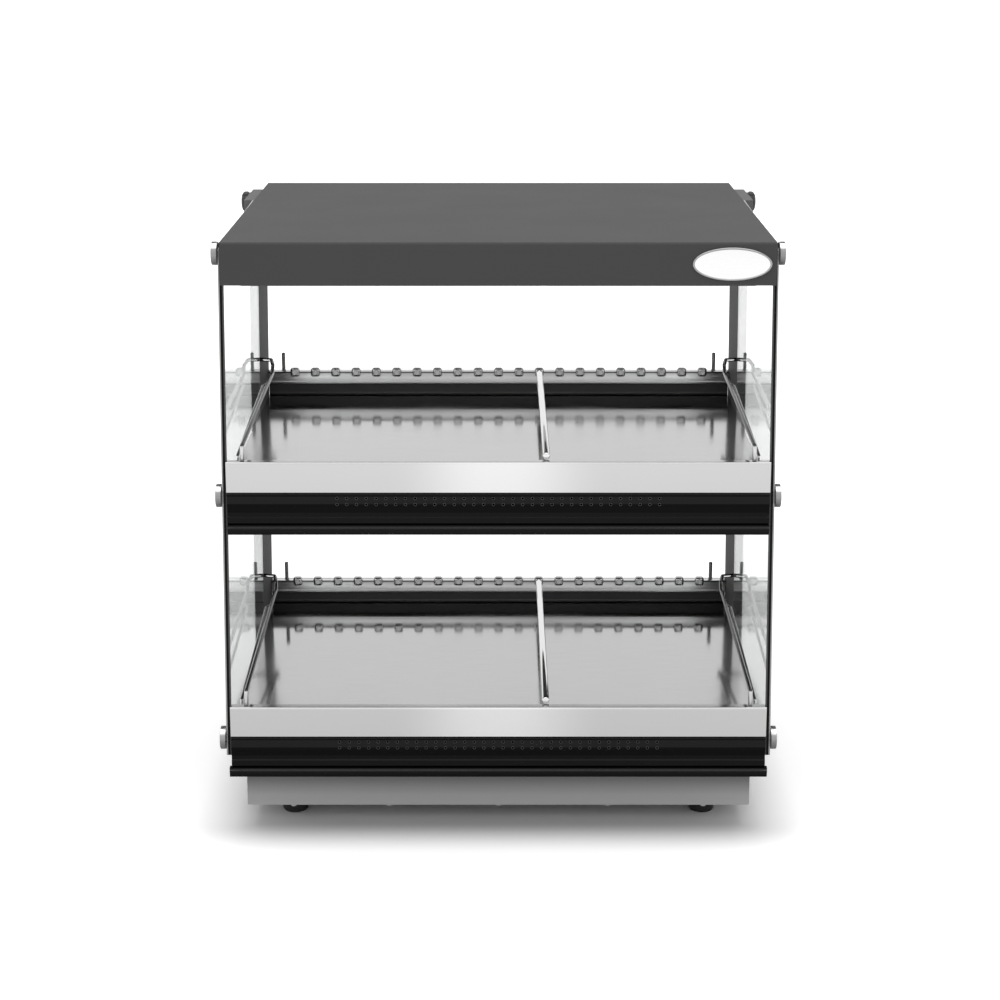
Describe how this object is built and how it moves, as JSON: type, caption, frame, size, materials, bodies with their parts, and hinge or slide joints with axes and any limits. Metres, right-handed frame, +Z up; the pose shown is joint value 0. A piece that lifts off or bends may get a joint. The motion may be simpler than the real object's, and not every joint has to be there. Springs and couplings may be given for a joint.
{
  "type": "heated display case",
  "caption": "Countertop heated display case: glass sides, painted canopy with lamp and heater, and warm steel shelves open to the front.",
  "frame": {"origin": "on the floor under the middle of the case's overall box", "axes": "+X to the right seen from the front, +Y from the open front to the rear, +Z up"},
  "size_m": [0.6322, 0.537, 0.652],
  "materials": {
    "canopy_paint": "satin charcoal powder coat",
    "black_paint": "satin black powder coat",
    "black_anodised": "black anodised extrusion",
    "tray_steel": "bright polished stainless sheet",
    "plain_steel": "brushed stainless sheet",
    "silver_rail": "satin anodised",
    "chrome_wire": "bright chrome plate",
    "clear_glass": "clear toughened glass",
    "knob_plastic": "moulded black",
    "washer_rubber": "soft grey",
    "foot_rubber": "black",
    "badge_metal": "satin blank plate",
    "lamp_glass": "frosted tube",
    "element_sheath": "heat-darkened sheath",
    "foil_heater": "foil heater mat",
    "mineral_board": "pressed mineral fibre",
    "pilot_red": "translucent red lens",
    "terminal_plastic": "moulded ivory"
  },
  "bodies": {
    "case": {"canopy_cover": "canopy_paint", "canopy_side_frames": "black_paint", "canopy_liner": "tray_steel", "liner_hangers": "plain_steel", "lamp_lens": "clear_glass", "lamp_tube": "lamp_glass", "lamp_holders": "terminal_plastic", "heating_elements": "element_sheath", "element_brackets": "plain_steel", "element_guard": "chrome_wire", "badge_plate": "badge_metal", "side_glass_left": "clear_glass", "side_glass_right": "clear_glass", "glass_studs": "chrome_wire", "standoff_caps": "silver_rail", "glass_washers": "washer_rubber", "rear_post_left": "black_paint", "rear_post_right": "black_paint", "rack_pins": "chrome_wire", "base_plinth": "plain_steel", "plinth_screws": "chrome_wire", "rubber_feet": "foot_rubber", "foot_screws": "chrome_wire", "power_inlet": "knob_plastic", "terminal_block": "terminal_plastic", "lower_tray": "tray_steel", "lower_front_channel": "black_anodised", "lower_end_panels": "black_paint", "lower_bottom_pan": "black_paint", "lower_heater_plate": "foil_heater", "lower_insulation_board": "mineral_board", "lower_rear_wall": "black_paint", "lower_rear_rack": "silver_rail", "lower_side_guards": "chrome_wire", "lower_thermostat": "knob_plastic", "lower_pilot_lamp": "pilot_red", "lower_switch_body": "knob_plastic", "upper_tray": "tray_steel", "upper_front_channel": "black_anodised", "upper_end_panels": "black_paint", "upper_bottom_pan": "black_paint", "upper_heater_plate": "foil_heater", "upper_insulation_board": "mineral_board", "upper_rear_wall": "black_paint", "upper_rear_rack": "silver_rail", "upper_side_guards": "chrome_wire", "upper_thermostat": "knob_plastic", "upper_pilot_lamp": "pilot_red", "upper_switch_body": "knob_plastic"},
    "left_knob": {"rear_knob_left": "knob_plastic"},
    "right_knob": {"rear_knob_right": "knob_plastic"},
    "lower_divider": {"lower_divider_rod": "chrome_wire"},
    "lower_dial": {"lower_thermostat_dial": "knob_plastic"},
    "lower_rocker": {"lower_switch_rocker": "knob_plastic"},
    "upper_divider": {"upper_divider_rod": "chrome_wire"},
    "upper_dial": {"upper_thermostat_dial": "knob_plastic"},
    "upper_rocker": {"upper_switch_rocker": "knob_plastic"}
  },
  "joints": [
    {"name": "lower_divider_pull", "type": "slide", "parent": "case", "child": "lower_divider", "axis": [0, -1, 0], "range_m": [0, 0.03]},
    {"name": "lower_dial_turn", "type": "hinge", "parent": "case", "child": "lower_dial", "pos_m": [0.19, 0.1667, 0.103], "axis": [0, -1, 0], "range_deg": [0, 270]},
    {"name": "lower_rocker_tip", "type": "hinge", "parent": "case", "child": "lower_rocker", "pos_m": [0.11, 0.16458, 0.103], "axis": [-1, 0, 0], "range_deg": [0, 16]},
    {"name": "upper_divider_pull", "type": "slide", "parent": "case", "child": "upper_divider", "axis": [0, -1, 0], "range_m": [0, 0.03]},
    {"name": "upper_dial_turn", "type": "hinge", "parent": "case", "child": "upper_dial", "pos_m": [0.19, 0.19268, 0.368], "axis": [0, -1, 0], "range_deg": [0, 270]},
    {"name": "upper_rocker_tip", "type": "hinge", "parent": "case", "child": "upper_rocker", "pos_m": [0.11, 0.19056, 0.368], "axis": [-1, 0, 0], "range_deg": [0, 16]},
    {"name": "left_knob_turn", "type": "hinge", "parent": "case", "child": "left_knob", "pos_m": [-0.305, 0.19961, 0.6375], "axis": [-1, 0, 0], "continuous": true},
    {"name": "right_knob_turn", "type": "hinge", "parent": "case", "child": "right_knob", "pos_m": [0.305, 0.19961, 0.6375], "axis": [1, 0, 0], "continuous": true}
  ]
}
